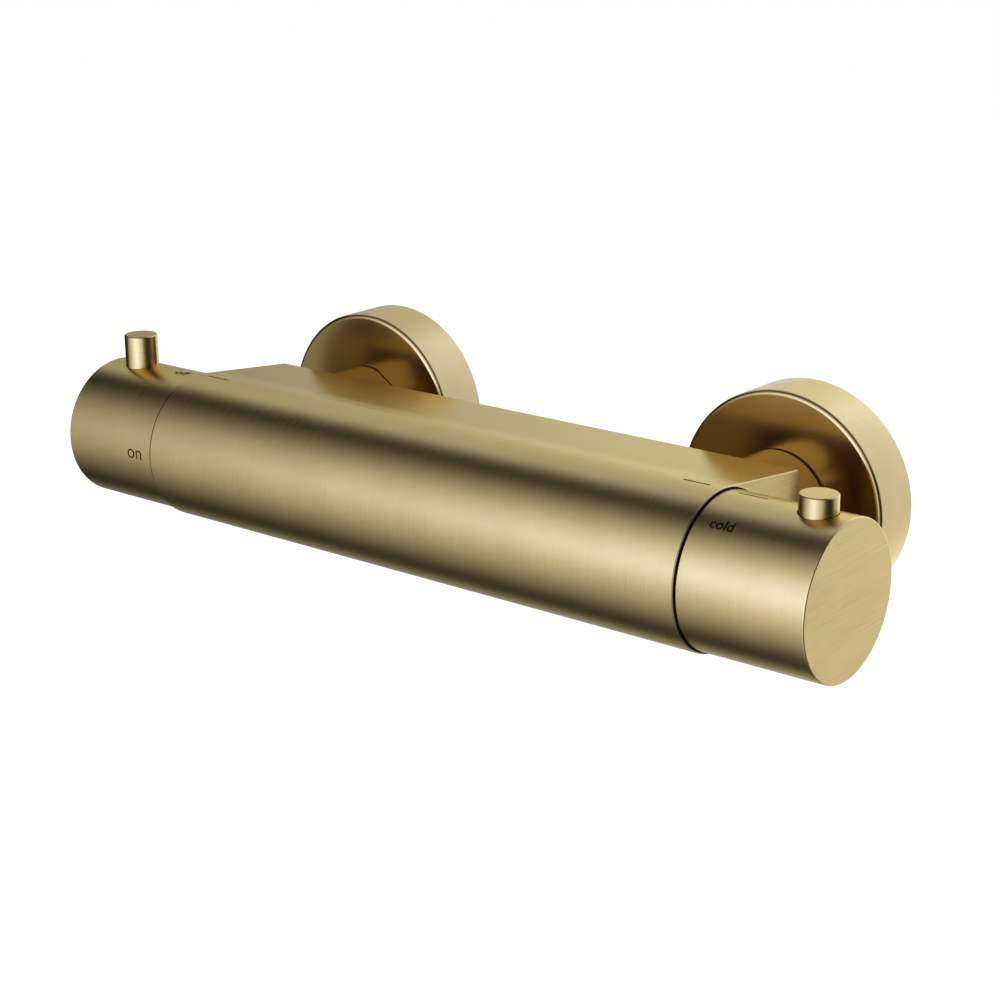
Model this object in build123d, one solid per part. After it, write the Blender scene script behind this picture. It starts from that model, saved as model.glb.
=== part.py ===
from build123d import *
import math
import os

# Wall-mounted thermostatic shower mixer, in millimetres.
# The row's origin is on the wall, midway between the two wall threads.
# +X runs along the bar to the temperature handle, +Y goes into the wall, +Z is up.
# The pieces are drawn about the bar's own axis and moved to the wall at the end.

# Where the bar hangs
inlet_spacing = 150.0
wall_distance = 71.5
eccentric_offset = 7.5

# Bar body
body_length = 185.0
body_radius = 21.5
block_depth = 36.5
block_rear_height = 35.0
block_corner_radius = 1.2
body_edge_chamfer = 0.25

# Handles
handle_length = 36.0
handle_radius = 20.8
handle_wall = 2.5
handle_end_wall = 3.8
handle_edge_round = 0.45
handle_joint_chamfer = 0.1
flow_gap = 0.3
temperature_gap = 0.5
glide_ring_bore_radius = 17.8

# Lever pin and stop button
pin_radius = 4.95
pin_rise = 9.2
pin_from_end = 11.2
pin_shank_radius = 2.95
pin_shank_length = 5.0
button_radius = 4.95
button_rise = 4.7
button_from_end = 9.3
button_travel = 2.5
button_foot_length = 10.0
button_foot_width = 13.0
button_foot_thickness = 1.5
catch_leg_width = 5.0
catch_leg_thickness = 1.8
post_edge_chamfer = 0.25

# Fits
running_clearance = 0.05
slip_clearance = 0.1
thread_clearance = 0.1
seat_gap = 0.3
cut_margin = 1.0

# Thermostatic cartridge
cartridge_radius = 14.4
cartridge_length = 54.0
cartridge_wall = 2.4
cartridge_end_wall = 2.0
cartridge_nose_wall = 3.0
nose_radius = 9.0
nose_length = 20.0
lock_nut_thread_radius = 16.0
lock_nut_thread_length = 8.5
lock_nut_lip = 3.0
lock_nut_across_flats = 30.0
lock_nut_head = 4.0
lock_nut_bore_radius = 12.0
mix_outlet_radius = 6.0
port_window = 5.0
port_window_width = 12.0
port_groove_depth = 1.4
port_groove_extra = 2.0
spindle_radius = 5.0
spindle_flange_radius = 8.0
spindle_flange = 2.4
spindle_screw_radius = 4.0
spindle_screw_length = 12.5
carrier_radius = 9.0
carrier_length = 15.0
carrier_room = 2.5
carrier_nut = 5.0
carrier_wall = 2.0
carrier_lip = 1.0
carrier_lip_radius = 5.0
plunger_thickness = 1.9
element_bulb_radius = 5.5
element_bulb_length = 16.0
element_collar_radius = 8.0
element_collar = 2.0
element_neck_radius = 4.0
element_neck = 6.0
element_piston_radius = 1.75
element_piston_reach = 2.0
shuttle_wall = 1.5
shuttle_length = 17.0
shuttle_web = 2.0
shuttle_window_radius = 2.0
shuttle_windows = 4

# Stop ring on the cartridge nose
stop_ring_gap = 0.5
stop_ring_web = 2.0
stop_ring_radius = 17.4
stop_ring_hub_radius = 12.0
stop_ring_lug = 4.0
nose_spline_teeth = 24
nose_spline_depth = 0.5
catch_gap_angle = 1.4
catch_angle = 10.0
catch_overlap = 1.8
end_stop_angle = 12.0
cold_turn = 40.0
hot_turn = 40.0

# Quarter-turn headwork
headwork_seat_depth = 30.5
headwork_thread_radius = 12.0
headwork_thread_length = 12.5
headwork_nose_radius = 8.4
headwork_chamber_radius = 10.5
headwork_wall = 0.8
headwork_across_flats = 24.0
headwork_head = 5.0
headwork_neck_radius = 7.0
headwork_neck = 8.0
headwork_seal_thickness = 2.2
headwork_seal_bore = 5.5
disc_thickness = 2.8
disc_window_angle = 80.0
disc_window_inner = 2.0
disc_window_outer = 6.0
stem_radius = 4.0
stem_head = 3.2
stop_lug_length = 2.8
stop_lug_angle = 90.0
flow_turn = 90.0
stop_side_clearance_angle = 1.0
headwork_window = 4.5
headwork_window_width = 9.0

# Splined adaptors that carry the handles
spline_teeth = 20
spline_depth = 0.45
spline_length = 9.0
adaptor_hub_radius = 9.0
adaptor_disc = 12.5
adaptor_hub_reach = 6.5
adaptor_web = 2.2
adaptor_screw_radius = 1.95
adaptor_screw_length = 10.0
adaptor_screw_head_radius = 3.6
adaptor_screw_head = 3.0
adaptor_screw_socket = 3.0
adaptor_screw_socket_depth = 1.6
grub_radius = 2.4
grub_length = 7.0
grub_socket = 2.5
grub_socket_depth = 2.5
grub_from_end = 8.8
grub_recess = 0.4

# Inlets
nipple_radius = 10.2
nipple_depth = 12.0
nipple_neck = 4.1
nipple_collar_radius = 12.7
nipple_collar = 2.4
nipple_hex = 11.0
valve_radius = 7.5
valve_length = 12.8
valve_wall = 1.2
valve_seat = 1.9
valve_seat_radius = 4.4
valve_spider = 1.9
valve_spider_hub_radius = 2.2
valve_spider_arm = 1.6
poppet_radius = 5.6
poppet_thickness = 1.5
poppet_stem_radius = 1.0
poppet_travel = 3.0
poppet_seat_gap = 0.2
washer_thickness = 2.0
nut_radius = 15.5
nut_across_flats = 29.2
nut_lip = 3.5
nut_edge_chamfer = 0.5
nut_flange_gap = 0.3
hot_nut_turn = -57.4
cold_nut_turn = -4.0
connector_thread_radius = 13.2
connector_front = 15.0
connector_bore_radius = 8.5
connector_shoulder = 4.0
connector_shoulder_radius = 11.6
wall_thread_radius = 10.48
wall_thread_reach = 14.0
wall_thread_bore = 7.5
flange_radius = 31.75
flange_depth = 17.0
flange_wall = 1.5
flange_edge_round = 1.4
flange_boss_wall = 2.7
flange_boss_length = 4.0
flange_seal_width = 2.6
flange_seal_thickness = 2.0

# Outlet
outlet_from_axis = 22.0
outlet_seat_level = 18.0
outlet_spot_face_radius = 12.5
outlet_thread_radius = 10.48
outlet_thread_length = 9.0
outlet_shank_radius = 8.9
outlet_shank_length = 10.0
outlet_hex = 11.0
outlet_seal_thickness = 0.8
outlet_seal_radius = 11.3

# Waterways cast in the body
mixed_bore_radius = 7.0
inlet_port_radius = 6.5
hot_pocket_depth = 7.5
hot_channel_radius = 4.5
hot_channel_depth = 22.0
hot_channel_height = 8.0
outlet_channel_radius = 4.0
outlet_channel_depth = 17.0
outlet_channel_height = -7.0
outlet_cross_radius = 3.0
hot_cross_radius = 4.0
port_overrun = 2.9
outlet_cross_margin = 0.5

# Springs and sealing rings
button_spring_wire = 0.6
button_spring_radius = 2.8
button_spring_pocket = 4.9
button_spring_turns = 4
return_spring_wire = 1.2
return_spring_radius = 7.0
return_spring_turns = 4
overload_spring_wire = 1.1
overload_spring_radius = 5.6
overload_spring_turns = 3
valve_spring_wire = 0.5
valve_spring_radius = 3.0
valve_spring_turns = 3
ring_section = 1.4
ring_groove_width = 1.9
spring_section_part = 0.8

# Stations along the bar, counted outwards from its middle
body_end = body_length / 2
flow_start = body_end + flow_gap
flow_end = flow_start + handle_length
temperature_start = body_end + temperature_gap
temperature_end = temperature_start + handle_length
handle_bore_radius = handle_radius - handle_wall
inlet_x = inlet_spacing / 2
button_x = temperature_end - button_from_end

# The quarter-turn headwork, from its seat outwards
headwork_seat = body_end - headwork_seat_depth
fixed_disc_start = headwork_seat + headwork_seal_thickness
moving_disc_start = fixed_disc_start + disc_thickness
stem_head_start = moving_disc_start + disc_thickness
stop_floor = stem_head_start + stem_head + stop_lug_length + 2 * slip_clearance

# The thermostatic cartridge, from the lock nut inwards
cartridge_shoulder = body_end - lock_nut_thread_length
cartridge_start = cartridge_shoulder - cartridge_length
nose_end = cartridge_shoulder + nose_length
spindle_flange_start = cartridge_shoulder - cartridge_nose_wall - slip_clearance - spindle_flange
carrier_end = spindle_flange_start - carrier_room
carrier_start = carrier_end - carrier_length
piston_tip = carrier_start + carrier_lip
collar_start = piston_tip - element_piston_reach - element_neck - element_collar

# The ports' middles: the hot one lies just inside the shuttle's closing edge
hot_port_x = collar_start - port_window / 2
cold_port_x = inlet_x

# The stop ring and the button's foot, whose corners lie a seat gap inside the handle's bore
stop_ring_start = body_end + lock_nut_head + stop_ring_gap
stop_ring_web_end = stop_ring_start + stop_ring_web
foot_top = math.sqrt((handle_bore_radius - seat_gap) ** 2 - (button_foot_width / 2) ** 2)
button_pocket_floor = foot_top - catch_leg_thickness - button_travel - seat_gap

# The pin's flat seat just reaches the edge of its foot
pin_seat_level = math.sqrt(handle_radius ** 2 - pin_radius ** 2)

# How far the splined hole runs on inside the adaptor's disc
spline_tail = adaptor_disc - adaptor_hub_reach - adaptor_web
grub_tip_level = -(handle_radius - grub_recess - grub_length)

# The inlets, from the block towards the wall
washer_start = block_depth + nipple_neck + nipple_collar
valve_end = washer_start - slip_clearance
valve_start = valve_end - valve_length
valve_seat_start = valve_end - valve_seat
nut_end = wall_distance - flange_depth - nut_flange_gap

to_wall = Pos(0, -wall_distance, eccentric_offset)
to_left = Rot(0, 0, 180)
pieces = {}


def turned_x(profile):
    """Revolves a closed profile of (station, radius) points about the X axis."""
    face = make_face(Polyline(*profile, close=True))
    return revolve(face, axis=Axis.X)


def turned_y(profile):
    """Revolves a closed profile of (station, radius) points about the Y axis."""
    face = make_face(Polyline(*[(radius, station) for station, radius in profile], close=True))
    return revolve(face, axis=Axis.Y)


def turned_z(profile):
    """Revolves a closed profile of (height, radius) points about the Z axis."""
    face = make_face(Polyline(*[(radius, 0, height) for height, radius in profile], close=True))
    return revolve(face, axis=Axis.Z)


def rod_x(radius, low, high):
    """A round bar along X between two stations."""
    return Pos(low, 0, 0) * Rot(0, 90, 0) * Cylinder(
        radius, high - low, align=(Align.CENTER, Align.CENTER, Align.MIN))


def rod_y(radius, low, high):
    """A round bar along Y between two stations."""
    return Pos(0, low, 0) * Rot(-90, 0, 0) * Cylinder(
        radius, high - low, align=(Align.CENTER, Align.CENTER, Align.MIN))


def rod_z(radius, low, high):
    """A round bar along Z between two heights."""
    return Pos(0, 0, low) * Cylinder(
        radius, high - low, align=(Align.CENTER, Align.CENTER, Align.MIN))


def tube_x(outer, inner, low, high):
    """A round tube along X."""
    return rod_x(outer, low, high) - rod_x(inner, low, high)


def tube_y(outer, inner, low, high):
    """A round tube along Y."""
    return rod_y(outer, low, high) - rod_y(inner, low, high)


def hexagon_x(across_flats, low, high):
    """A hexagonal bar along X."""
    face = RegularPolygon(across_flats / 2, 6, major_radius=False)
    return Pos(low, 0, 0) * Rot(0, 90, 0) * extrude(face, high - low)


def hexagon_y(across_flats, low, high):
    """A hexagonal bar along Y."""
    face = RegularPolygon(across_flats / 2, 6, major_radius=False)
    return Pos(0, low, 0) * Rot(-90, 0, 0) * extrude(face, high - low)


def hexagon_z(across_flats, low, high):
    """A hexagonal bar along Z."""
    face = RegularPolygon(across_flats / 2, 6, major_radius=False)
    return Pos(0, 0, low) * extrude(face, high - low)


def block(low, high):
    """A box between two opposite corners."""
    size = [b - a for a, b in zip(low, high)]
    return Pos(*low) * Box(*size, align=(Align.MIN, Align.MIN, Align.MIN))


def splined_bar(tip, depth, teeth, low, high):
    """A serrated bar along X, whose teeth are straight-sided V shapes."""
    points = []
    for i in range(2 * teeth):
        radius = tip if i % 2 == 0 else tip - depth
        turn = math.pi * i / teeth
        points.append((radius * math.cos(turn), radius * math.sin(turn)))
    face = make_face(Polyline(*points, close=True))
    return Pos(low, 0, 0) * Rot(0, 90, 0) * extrude(face, high - low)


def sector(inner, outer, middle, angle, low, high):
    """A ring segment about X. Its middle is counted from the top towards the wall."""
    turned = revolve(
        make_face(Polyline((low, inner), (high, inner), (high, outer), (low, outer), close=True)),
        axis=Axis.X, revolution_arc=angle)
    # The profile starts on +Y, and turns towards +Z
    return Rot(90 - middle - angle / 2, 0, 0) * turned


def coil_spring(mean_radius, wire, low, high, turns):
    """A compression spring along Z, its ends inside the two given heights."""
    height = high - low - wire
    path = Helix(pitch=height / turns, height=height, radius=mean_radius)
    side = wire * spring_section_part
    section = Plane(path @ 0, z_dir=path % 0) * Rectangle(side, side)
    return Pos(0, 0, low + wire / 2) * sweep(section, path=path, is_frenet=True)


def sealing_ring_x(outer, station):
    """A round rubber ring about X, drawn at its fitted size."""
    ring = Torus(outer - ring_section / 2, ring_section / 2)
    return Pos(station, 0, 0) * Rot(0, 90, 0) * ring


def edge_bevels(low, high, radius, size, inner=0.0):
    """The profile of a turned outside with a small chamfer at both ends."""
    return [(low, inner), (high, inner), (high, radius - size), (high - size, radius),
            (low + size, radius), (low, radius - size)]


def tangent_point(depth, height, radius):
    """Where a line from a rear corner of the block touches the bar's circle."""
    reach = math.hypot(depth, height)
    turn = math.atan2(height, depth) + math.acos(radius / reach)
    return radius * math.cos(turn), radius * math.sin(turn)


# Bar body, one brass casting: a cylinder in front and a block that tapers towards the wall
def bar_body():
    half_height = block_rear_height / 2
    touch = tangent_point(block_depth, half_height, body_radius)
    outline = make_face(Polyline(
        touch, (block_depth, half_height), (block_depth, -half_height), (touch[0], -touch[1]), close=True))
    section = outline + Circle(body_radius)
    corners = section.vertices().group_by(Axis.X)[-1]
    section = fillet(corners, block_corner_radius)
    # The drawing's X is the depth and its Y the height
    section = Plane(origin=(-body_end, 0, 0), x_dir=(0, 1, 0), z_dir=(1, 0, 0)) * section
    body = extrude(section, body_length, dir=(1, 0, 0))
    ends = body.edges().group_by(Axis.X)
    body = chamfer(ends[0] + ends[-1], body_edge_chamfer)

    # Temperature side
    body -= rod_x(cartridge_radius + slip_clearance, cartridge_start, body_end)
    body -= rod_x(lock_nut_thread_radius, cartridge_shoulder, body_end)

    # Flow side
    body -= rod_x(headwork_chamber_radius, -body_end, -headwork_seat)
    body -= rod_x(headwork_thread_radius, -body_end, headwork_thread_length - body_end)
    body -= rod_x(mixed_bore_radius, -headwork_seat, cartridge_start)

    # Inlets and their ports
    nipple_floor = block_depth - nipple_depth
    for x in (-inlet_x, inlet_x):
        body -= Pos(x, 0, 0) * rod_y(nipple_radius, nipple_floor, block_depth)
    body -= Pos(-inlet_x, 0, 0) * rod_y(inlet_port_radius, nipple_floor - hot_pocket_depth, nipple_floor)
    port_floor = cartridge_radius - port_overrun
    body -= Pos(inlet_x, 0, 0) * rod_y(inlet_port_radius, port_floor, nipple_floor)

    # Hot water's way along the block, and into the cartridge
    body -= Pos(0, hot_channel_depth, hot_channel_height) * rod_x(hot_channel_radius, -inlet_x, hot_port_x)
    hot_turn_up = math.degrees(math.atan2(hot_channel_height, hot_channel_depth))
    hot_reach = math.hypot(hot_channel_depth, hot_channel_height)
    cross = rod_y(hot_cross_radius, port_floor, hot_reach)
    body -= Pos(hot_port_x, 0, 0) * Rot(hot_turn_up, 0, 0) * cross

    # Mixed water's way from the headwork to the outlet
    cross_x = -headwork_seat - outlet_cross_radius - outlet_cross_margin
    body -= Pos(0, outlet_channel_depth, outlet_channel_height) * rod_x(outlet_channel_radius, cross_x, 0)
    outlet_turn_up = math.degrees(math.atan2(outlet_channel_height, outlet_channel_depth))
    outlet_reach = math.hypot(outlet_channel_depth, outlet_channel_height)
    cross = rod_y(outlet_cross_radius, headwork_nose_radius, outlet_reach)
    body -= Pos(cross_x, 0, 0) * Rot(outlet_turn_up, 0, 0) * cross

    # Outlet seat under the block
    seat_level = -outlet_seat_level
    shank_top = seat_level + outlet_shank_length
    outlet = Pos(0, outlet_from_axis, 0)
    body -= outlet * rod_z(outlet_spot_face_radius, -body_radius, seat_level)
    body -= outlet * rod_z(outlet_seal_radius, seat_level, seat_level + outlet_seal_thickness)
    body -= outlet * rod_z(outlet_shank_radius + slip_clearance, seat_level, shank_top)
    body -= outlet * rod_z(outlet_hex / 2, shank_top, outlet_channel_height + outlet_channel_radius / 2)
    return body


# Handle shells, turned brass cups with a flat closed end
def handle_shell(start):
    end = start + handle_length
    joint = handle_joint_chamfer
    cup = turned_x([(start, 0), (end, 0), (end, handle_radius), (start + joint, handle_radius),
                    (start, handle_radius - joint)])
    cup = fillet(cup.edges().filter_by(GeomType.CIRCLE).group_by(Axis.X)[-1], handle_edge_round)
    cup -= rod_x(handle_bore_radius, start, end - handle_end_wall)
    grub_hole = rod_z(grub_radius + thread_clearance, -handle_radius, -handle_bore_radius / 2)
    return cup - Pos(end - grub_from_end, 0, 0) * grub_hole


def flow_handle():
    seat = rod_z(pin_radius + running_clearance, pin_seat_level, handle_radius + cut_margin)
    thread = rod_z(pin_shank_radius + thread_clearance, handle_bore_radius / 2, handle_radius)
    return to_left * (handle_shell(flow_start) - Pos(flow_end - pin_from_end, 0, 0) * (seat + thread))


def lever_pin():
    seat = pin_seat_level
    top = handle_radius + pin_rise
    shank = seat - pin_shank_length
    bevel = post_edge_chamfer
    pin = turned_z([(shank, 0), (top, 0), (top, pin_radius - bevel), (top - bevel, pin_radius),
                    (seat, pin_radius), (seat, pin_shank_radius), (shank, pin_shank_radius)])
    return to_left * Pos(flow_end - pin_from_end, 0, 0) * pin


# Black glide ring that fills the gap between the body and the temperature handle
def glide_ring():
    outer = body_radius - body_edge_chamfer - running_clearance
    return tube_x(outer, glide_ring_bore_radius, body_end, temperature_start - slip_clearance)


def temperature_handle():
    shell = handle_shell(temperature_start)
    hole = rod_z(button_radius + 2 * slip_clearance, handle_bore_radius / 2, handle_radius + cut_margin)
    return shell - Pos(button_x, 0, 0) * hole


# Stop button: a round head, a foot that keeps it in the handle, and a leg that meets the catch
def stop_button():
    top = handle_radius + button_rise
    bevel = post_edge_chamfer
    foot_bottom = foot_top - button_foot_thickness
    head = turned_z([(foot_bottom, 0), (top, 0), (top, button_radius - bevel),
                     (top - bevel, button_radius), (foot_bottom, button_radius)])
    half_foot = button_foot_length / 2
    foot = block((button_x - half_foot, -button_foot_width / 2, foot_bottom),
                 (button_x + half_foot, button_foot_width / 2, foot_top))
    leg = block((stop_ring_web_end + 2 * seat_gap, -catch_leg_width / 2, foot_top - catch_leg_thickness),
                (button_x, catch_leg_width / 2, foot_top))
    return Pos(button_x, 0, 0) * head + foot + leg


def button_spring():
    bottom = button_pocket_floor - button_spring_pocket
    top = foot_top - catch_leg_thickness
    spring = coil_spring(button_spring_radius, button_spring_wire, bottom, top, button_spring_turns)
    return Pos(button_x, 0, 0) * spring


# Splined adaptor between a spindle and its handle shell
def adaptor(start):
    end = start + handle_length - handle_end_wall
    web_low = spline_end(start)
    hub_start = web_low - spline_length + slip_clearance
    solid = rod_x(adaptor_hub_radius, hub_start, end)
    solid += rod_x(handle_bore_radius - slip_clearance, end - adaptor_disc, end)
    solid -= splined_bar(stem_radius + running_clearance, spline_depth, spline_teeth, hub_start, web_low)
    solid -= rod_x(adaptor_screw_radius + thread_clearance, web_low, end)
    solid -= rod_x(adaptor_screw_head_radius + seat_gap, web_low + adaptor_web, end)
    grub_x = start + handle_length - grub_from_end
    return solid - Pos(grub_x, 0, 0) * rod_z(
        grub_radius + thread_clearance, -handle_radius, grub_tip_level)


def spline_end(start):
    """The outer end of a spindle's splines, against the adaptor's web."""
    return start + handle_length - handle_end_wall - adaptor_disc + spline_tail


def adaptor_screw(start):
    seat = spline_end(start) + adaptor_web
    screw = rod_x(adaptor_screw_radius, seat - adaptor_screw_length, seat)
    screw += rod_x(adaptor_screw_head_radius, seat, seat + adaptor_screw_head)
    head_end = seat + adaptor_screw_head
    return screw - hexagon_x(adaptor_screw_socket, head_end - adaptor_screw_socket_depth, head_end)


def grub_screw(start):
    bottom = grub_tip_level - grub_length
    screw = rod_z(grub_radius, bottom, grub_tip_level)
    screw -= hexagon_z(grub_socket, bottom, bottom + grub_socket_depth)
    return Pos(start + handle_length - grub_from_end, 0, 0) * screw


def flow_adaptor():
    solid = adaptor(flow_start)
    floor = pin_seat_level - pin_shank_length - seat_gap
    hole = rod_z(pin_shank_radius + slip_clearance, floor, handle_radius)
    return to_left * (solid - Pos(flow_end - pin_from_end, 0, 0) * hole)


def temperature_adaptor():
    solid = adaptor(temperature_start)
    floor = button_pocket_floor
    half_foot = button_foot_length / 2 + seat_gap
    half_width = button_foot_width / 2 + seat_gap
    solid -= block((button_x - half_foot, -half_width, floor),
                   (button_x + half_foot, half_width, handle_radius))
    half_leg = catch_leg_width / 2 + seat_gap
    solid -= block((temperature_start, -half_leg, floor), (button_x, half_leg, handle_radius))
    pocket = rod_z(button_spring_radius + button_spring_wire, floor - button_spring_pocket, handle_radius)
    return solid - Pos(button_x, 0, 0) * pocket


# Quarter-turn headwork, drawn along +X like the cartridge and turned to the left end
def headwork_body():
    thread_start = body_end - headwork_thread_length
    head_end = body_end + headwork_head
    neck_end = head_end + headwork_neck
    cavity = headwork_nose_radius - headwork_wall
    groove = body_end - ring_groove_width
    thread_radius = headwork_thread_radius - thread_clearance
    ring_floor = thread_radius - ring_section
    solid = turned_x([
        (fixed_disc_start, 0), (neck_end, 0), (neck_end, headwork_neck_radius),
        (body_end, headwork_neck_radius), (body_end, ring_floor), (groove, ring_floor), (groove, thread_radius),
        (thread_start, thread_radius), (thread_start, headwork_nose_radius),
        (fixed_disc_start, headwork_nose_radius)])
    solid += hexagon_x(headwork_across_flats, body_end, head_end)
    solid -= rod_x(cavity, fixed_disc_start, stop_floor)
    solid -= rod_x(stem_radius + running_clearance, stop_floor, neck_end)
    lug_start = stop_floor - stop_lug_length
    solid += sector(stem_radius + running_clearance, cavity, 0, stop_lug_angle, lug_start, stop_floor)
    half_width = headwork_window_width / 2
    window = block((moving_disc_start, -headwork_nose_radius, -half_width),
                   (moving_disc_start + headwork_window, headwork_nose_radius, half_width))
    return to_left * (solid - window)


def headwork_spindle():
    end = spline_end(flow_start)
    reach = headwork_nose_radius - headwork_wall - slip_clearance
    spline_start = end - spline_length
    stem_head_end = stem_head_start + stem_head
    tab_angle = 360 - stop_lug_angle - flow_turn - 2 * stop_side_clearance_angle
    tab_middle = 180 + flow_turn / 2
    stem = rod_x(reach, stem_head_start, stem_head_end)
    stem += rod_x(stem_radius, stem_head_start, spline_start)
    stem += splined_bar(stem_radius, spline_depth, spline_teeth, spline_start, end)
    stem += sector(stem_radius - slip_clearance, reach, tab_middle, tab_angle,
                   stem_head_end - slip_clearance, stop_floor - slip_clearance)
    stem -= rod_x(adaptor_screw_radius + thread_clearance, end + adaptor_web - adaptor_screw_length, end)
    return to_left * stem


def disc_windows(middle):
    """Two opposite windows, for the passage through a ceramic disc."""
    return [sector(disc_window_inner, disc_window_outer, middle + side, disc_window_angle, 0, disc_thickness)
            for side in (0, 180)]


def ceramic_disc(station, middle):
    disc = rod_x(headwork_nose_radius - headwork_wall - slip_clearance, 0, disc_thickness)
    for window in disc_windows(middle):
        disc -= window
    return to_left * Pos(station, 0, 0) * disc


def fixed_disc():
    return ceramic_disc(fixed_disc_start, 0)


def moving_disc():
    return ceramic_disc(moving_disc_start, 90)


def headwork_seal():
    return to_left * tube_x(headwork_nose_radius, headwork_seal_bore, headwork_seat, fixed_disc_start)


def headwork_o_ring():
    outer = headwork_thread_radius - thread_clearance
    return to_left * sealing_ring_x(outer, body_end - ring_groove_width / 2)


# Thermostatic cartridge
def thermostat_housing():
    bore = cartridge_radius - cartridge_wall
    groove_radius = cartridge_radius - port_groove_depth
    solid = rod_x(cartridge_radius, cartridge_start, cartridge_shoulder)
    solid += rod_x(nose_radius, cartridge_shoulder, stop_ring_start)
    solid += splined_bar(nose_radius, nose_spline_depth, nose_spline_teeth, stop_ring_start, nose_end)
    solid -= rod_x(bore, cartridge_start + cartridge_end_wall, cartridge_shoulder - cartridge_nose_wall)
    solid -= rod_x(mix_outlet_radius, cartridge_start, cartridge_start + cartridge_end_wall)
    solid -= rod_x(spindle_radius + running_clearance, cartridge_shoulder - cartridge_nose_wall, nose_end)
    half_groove = port_window / 2 + port_groove_extra
    outside = cartridge_radius + cut_margin
    for port_x in (hot_port_x, cold_port_x):
        solid -= tube_x(outside, groove_radius, port_x - half_groove, port_x + half_groove)
        half_width = port_window_width / 2
        for turn in (45, 135):
            window = block((port_x - port_window / 2, -cartridge_radius, -half_width),
                           (port_x + port_window / 2, cartridge_radius, half_width))
            solid -= Rot(turn, 0, 0) * window
    for station in seal_stations():
        half = ring_groove_width / 2
        solid -= tube_x(outside, cartridge_radius - ring_section, station - half, station + half)
    return solid


def seal_stations():
    """One ring below the hot port, one between the ports."""
    return cartridge_start + (hot_port_x - cartridge_start) / 2, (hot_port_x + cold_port_x) / 2


def thermostat_o_rings():
    rings = [sealing_ring_x(cartridge_radius, station) for station in seal_stations()]
    return Compound(children=rings)


def thermostat_nut():
    head_end = body_end + lock_nut_head
    nut = rod_x(lock_nut_thread_radius - thread_clearance, cartridge_shoulder, body_end)
    nut += hexagon_x(lock_nut_across_flats, body_end, head_end)
    nut -= rod_x(nose_radius + slip_clearance, cartridge_shoulder, head_end)
    return nut - rod_x(lock_nut_bore_radius, cartridge_shoulder + lock_nut_lip, head_end)


def thermostat_spindle():
    flange = spindle_flange_start
    end = spline_end(temperature_start)
    spline_start = end - spline_length
    spindle = turned_x([
        (flange - spindle_screw_length, 0), (spline_start, 0), (spline_start, spindle_radius),
        (flange + spindle_flange, spindle_radius), (flange + spindle_flange, spindle_flange_radius),
        (flange, spindle_flange_radius), (flange, spindle_screw_radius),
        (flange - spindle_screw_length, spindle_screw_radius)])
    spindle += splined_bar(stem_radius, spline_depth, spline_teeth, spline_start, end)
    return spindle - rod_x(
        adaptor_screw_radius + thread_clearance, end + adaptor_web - adaptor_screw_length, end)


def overload_carrier():
    nut_start = carrier_end - carrier_nut
    cup = rod_x(carrier_radius, carrier_start, carrier_end)
    cup -= rod_x(carrier_lip_radius, carrier_start, nut_start)
    cup -= rod_x(carrier_radius - carrier_wall, piston_tip, nut_start)
    return cup - rod_x(spindle_screw_radius + thread_clearance, nut_start, carrier_end)


def overload_plunger():
    return rod_x(carrier_radius - carrier_wall - slip_clearance, piston_tip, piston_tip + plunger_thickness)


def overload_spring():
    spring = coil_spring(overload_spring_radius, overload_spring_wire, piston_tip + plunger_thickness,
                         carrier_end - carrier_nut, overload_spring_turns)
    return Rot(0, 90, 0) * spring


def wax_element():
    neck = collar_start + element_collar
    piston = neck + element_neck
    bulb = collar_start - element_bulb_length
    return turned_x([
        (bulb, 0), (piston_tip, 0), (piston_tip, element_piston_radius), (piston, element_piston_radius),
        (piston, element_neck_radius), (neck, element_neck_radius), (neck, element_collar_radius),
        (collar_start, element_collar_radius), (collar_start, element_bulb_radius),
        (bulb, element_bulb_radius)])


def regulating_shuttle():
    start = collar_start + element_collar
    outer = cartridge_radius - cartridge_wall - running_clearance
    sleeve = rod_x(outer, start, start + shuttle_length)
    sleeve -= rod_x(outer - shuttle_wall, start + shuttle_web, start + shuttle_length)
    sleeve -= rod_x(element_neck_radius + slip_clearance, start, start + shuttle_web)
    middle = (element_collar_radius + outer - shuttle_wall) / 2
    for i in range(shuttle_windows):
        turn = Rot(360 * i / shuttle_windows, 0, 0)
        sleeve -= turn * Pos(0, middle, 0) * rod_x(shuttle_window_radius, start, start + shuttle_web)
    return sleeve


def return_spring():
    spring = coil_spring(return_spring_radius, return_spring_wire, cartridge_start + cartridge_end_wall,
                         collar_start, return_spring_turns)
    return Rot(0, 90, 0) * spring


# Stop ring: a splined ring with the catch for the button's leg, and the two end stops
def temperature_stop_ring():
    web_end = stop_ring_web_end
    lug_end = web_end + stop_ring_lug
    ring = rod_x(stop_ring_radius, stop_ring_start, web_end)
    ring += rod_x(stop_ring_hub_radius, web_end, lug_end)
    ring -= splined_bar(
        nose_radius + running_clearance, nose_spline_depth, nose_spline_teeth, stop_ring_start, lug_end)
    leg_low = foot_top - catch_leg_thickness
    leg_half = math.degrees(math.asin(catch_leg_width / 2 / leg_low))
    pressed_half = math.degrees(math.asin(catch_leg_width / 2 / (leg_low - button_travel)))
    catch_inner = foot_top - catch_overlap
    catch_middle = -(leg_half + catch_gap_angle + catch_angle / 2)
    ring += sector(catch_inner, stop_ring_radius, catch_middle, catch_angle, web_end, lug_end)
    for turn in (cold_turn, -hot_turn):
        side = math.copysign(1, turn)
        middle = turn + side * (pressed_half + catch_gap_angle + end_stop_angle / 2)
        inner = stop_ring_hub_radius - cut_margin
        ring += sector(inner, stop_ring_radius, middle, end_stop_angle, web_end, lug_end)
    return ring


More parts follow.
